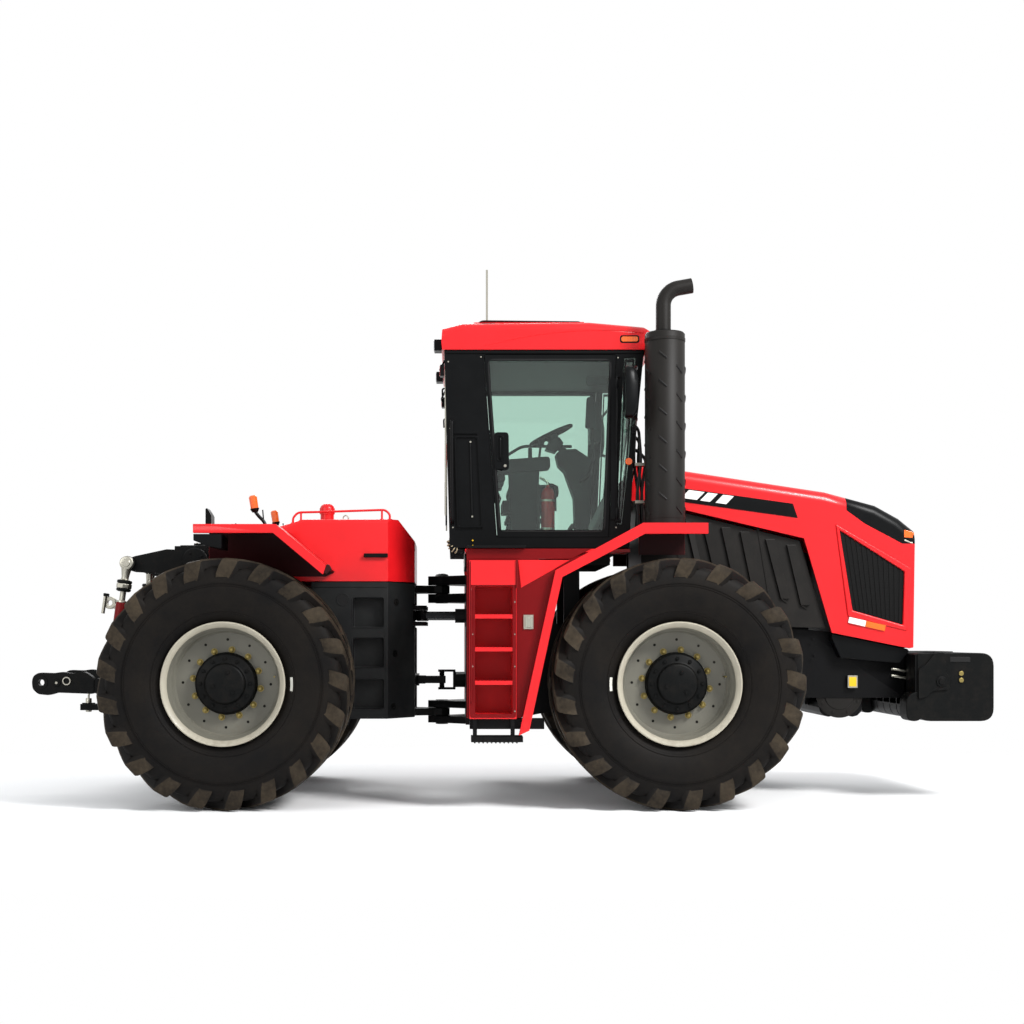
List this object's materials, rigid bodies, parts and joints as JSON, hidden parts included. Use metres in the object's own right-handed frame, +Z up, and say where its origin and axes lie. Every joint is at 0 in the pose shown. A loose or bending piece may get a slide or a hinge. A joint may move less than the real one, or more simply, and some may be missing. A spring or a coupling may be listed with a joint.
{
  "type": "articulated farm tractor",
  "caption": "Four-wheel-drive farm tractor hinged in the middle, with cab, sloping hood, side stack, ladders, front weight pack and rear three-point linkage.",
  "frame": {"origin": "on the ground, at the middle of the bounding box in plan", "axes": "+X to the nose, +Y to the tractor's left, +Z up"},
  "size_m": [7.325, 2.942, 4.187],
  "materials": {
    "red_enamel": "gloss enamel over pressed steel",
    "black_enamel": "semi-gloss black enamel",
    "black_moulding": "moulded, matt, fine grain",
    "rim_silver": "silver-grey enamel",
    "tyre_rubber": "matt moulded rubber",
    "cab_glazing": "lightly green-tinted flat glass",
    "seat_cloth": "woven cloth",
    "interior_plastic": "moulded, matt",
    "chrome_rod": "ground and chromed",
    "cast_iron": "painted casting",
    "engine_grey": "painted casting",
    "amber_lens": "transparent moulding",
    "mesh_black": "woven wire, black"
  },
  "bodies": {
    "front": {"front_frame": "black_enamel", "hinge_bulkhead": "black_enamel", "front_axle": "cast_iron", "engine": "engine_grey", "cooling_pack": "engine_grey", "cab_shell": "black_moulding", "cab_glass": "cab_glazing", "cab_roof": "red_enamel", "seat": "seat_cloth", "steering_console": "interior_plastic", "front_fenders": "red_enamel", "ladders": "red_enamel", "cab_decks": "black_enamel", "exhaust_stack": "black_enamel", "mirrors": "black_moulding", "work_lamps": "black_moulding", "louvre_panels": "black_moulding", "nose_cowl": "black_moulding", "weight_carrier": "black_enamel", "front_weights": "cast_iron", "air_tanks": "black_enamel", "driveshaft_front": "cast_iron"},
    "hood": {"hood": "red_enamel", "nose_cap": "black_moulding", "hood_grilles": "mesh_black"},
    "rear": {"rear_frame": "black_enamel", "hinge_ears": "black_enamel", "cylinder_lugs": "black_enamel", "rear_axle": "cast_iron", "side_units": "black_moulding", "fuel_tank": "red_enamel", "rear_fenders": "red_enamel", "handrail": "black_enamel", "rear_lamps": "amber_lens", "lift_housing": "black_enamel", "drawbar": "black_enamel", "driveshaft_rear": "cast_iron"},
    "lift_arms": {"lift_arms": "black_enamel"},
    "lift_rods": {"lift_rods": "red_enamel"},
    "lower_links": {"lower_links": "black_enamel"},
    "top_link": {"top_link": "black_enamel"},
    "door_right": {"door_right": "black_moulding", "door_right_glass": "cab_glazing"},
    "steering_barrel_right": {"steering_barrel_right": "black_enamel"},
    "steering_rod_right": {"steering_rod_right": "chrome_rod"},
    "wheel_front_right": {"tyre_front_right": "tyre_rubber", "rim_front_right": "rim_silver"},
    "wheel_rear_right": {"tyre_rear_right": "tyre_rubber", "rim_rear_right": "rim_silver"},
    "door_left": {"door_left": "black_moulding", "door_left_glass": "cab_glazing"},
    "steering_barrel_left": {"steering_barrel_left": "black_enamel"},
    "steering_rod_left": {"steering_rod_left": "chrome_rod"},
    "wheel_front_left": {"tyre_front_left": "tyre_rubber", "rim_front_left": "rim_silver"},
    "wheel_rear_left": {"tyre_rear_left": "tyre_rubber", "rim_rear_left": "rim_silver"}
  },
  "joints": [
    {"name": "articulation", "type": "hinge", "parent": "front", "child": "rear", "pos_m": [-0.509, 0, 1.1], "axis": [0, 0, 1], "range_deg": [-32, 32]},
    {"name": "door_right_hinge", "type": "hinge", "parent": "front", "child": "door_right", "pos_m": [0.803, -0.864, 2.6], "axis": [0, 0, 1], "range_deg": [0, 75]},
    {"name": "steering_swing_right", "type": "hinge", "parent": "front", "child": "steering_barrel_right", "pos_m": [0.127, -0.27, 1.409], "axis": [0, 0, 1], "range_deg": [-7, 7]},
    {"name": "steering_stroke_right", "type": "slide", "parent": "steering_barrel_right", "child": "steering_rod_right", "axis": [-0.9999, 0.0126, 0], "range_m": [-0.15, 0.15]},
    {"name": "wheel_front_right_spin", "type": "hinge", "parent": "front", "child": "wheel_front_right", "pos_m": [1.193, -1.08, 0.9045], "axis": [0, 1, 0], "continuous": true},
    {"name": "wheel_rear_right_spin", "type": "hinge", "parent": "rear", "child": "wheel_rear_right", "pos_m": [-2.057, -1.08, 0.9045], "axis": [0, 1, 0], "continuous": true},
    {"name": "door_left_hinge", "type": "hinge", "parent": "front", "child": "door_left", "pos_m": [0.803, 0.864, 2.6], "axis": [0, 0, -1], "range_deg": [0, 75]},
    {"name": "steering_swing_left", "type": "hinge", "parent": "front", "child": "steering_barrel_left", "pos_m": [0.127, 0.27, 1.409], "axis": [0, 0, 1], "range_deg": [-7, 7]},
    {"name": "steering_stroke_left", "type": "slide", "parent": "steering_barrel_left", "child": "steering_rod_left", "axis": [-0.9999, -0.0126, 0], "range_m": [-0.15, 0.15]},
    {"name": "wheel_front_left_spin", "type": "hinge", "parent": "front", "child": "wheel_front_left", "pos_m": [1.193, 1.08, 0.9045], "axis": [0, 1, 0], "continuous": true},
    {"name": "wheel_rear_left_spin", "type": "hinge", "parent": "rear", "child": "wheel_rear_left", "pos_m": [-2.057, 1.08, 0.9045], "axis": [0, 1, 0], "continuous": true},
    {"name": "hood_hinge", "type": "hinge", "parent": "front", "child": "hood", "pos_m": [1, 0, 2.508], "axis": [0, -1, 0], "range_deg": [0, 50]},
    {"name": "lower_link_lift", "type": "hinge", "parent": "rear", "child": "lower_links", "pos_m": [-2.48, 0, 0.79], "axis": [0, 1, 0], "range_deg": [-35, 0]},
    {"name": "lift_arm_swing", "type": "hinge", "parent": "rear", "child": "lift_arms", "pos_m": [-2.42, 0, 1.835], "axis": [0, 1, 0], "range_deg": [-46, 2]},
    {"name": "lift_rod_swing", "type": "hinge", "parent": "lift_arms", "child": "lift_rods", "pos_m": [-2.935, 0, 1.81], "axis": [0, 1, 0], "range_deg": [-2, 54]},
    {"name": "top_link_swing", "type": "hinge", "parent": "rear", "child": "top_link", "pos_m": [-2.68, 0, 1.33], "axis": [0, 1, 0], "range_deg": [-40, 15]}
  ],
  "couplings": [
    {"joint": "steering_swing_right", "follows": "articulation", "ratio": 0.18},
    {"joint": "steering_stroke_right", "follows": "articulation", "m_per_rad": -0.254},
    {"joint": "steering_swing_left", "follows": "articulation", "ratio": 0.18},
    {"joint": "steering_stroke_left", "follows": "articulation", "m_per_rad": 0.254},
    {"joint": "lift_arm_swing", "follows": "lower_link_lift", "ratio": 1.27},
    {"joint": "lift_rod_swing", "follows": "lower_link_lift", "ratio": -1.45}
  ]
}
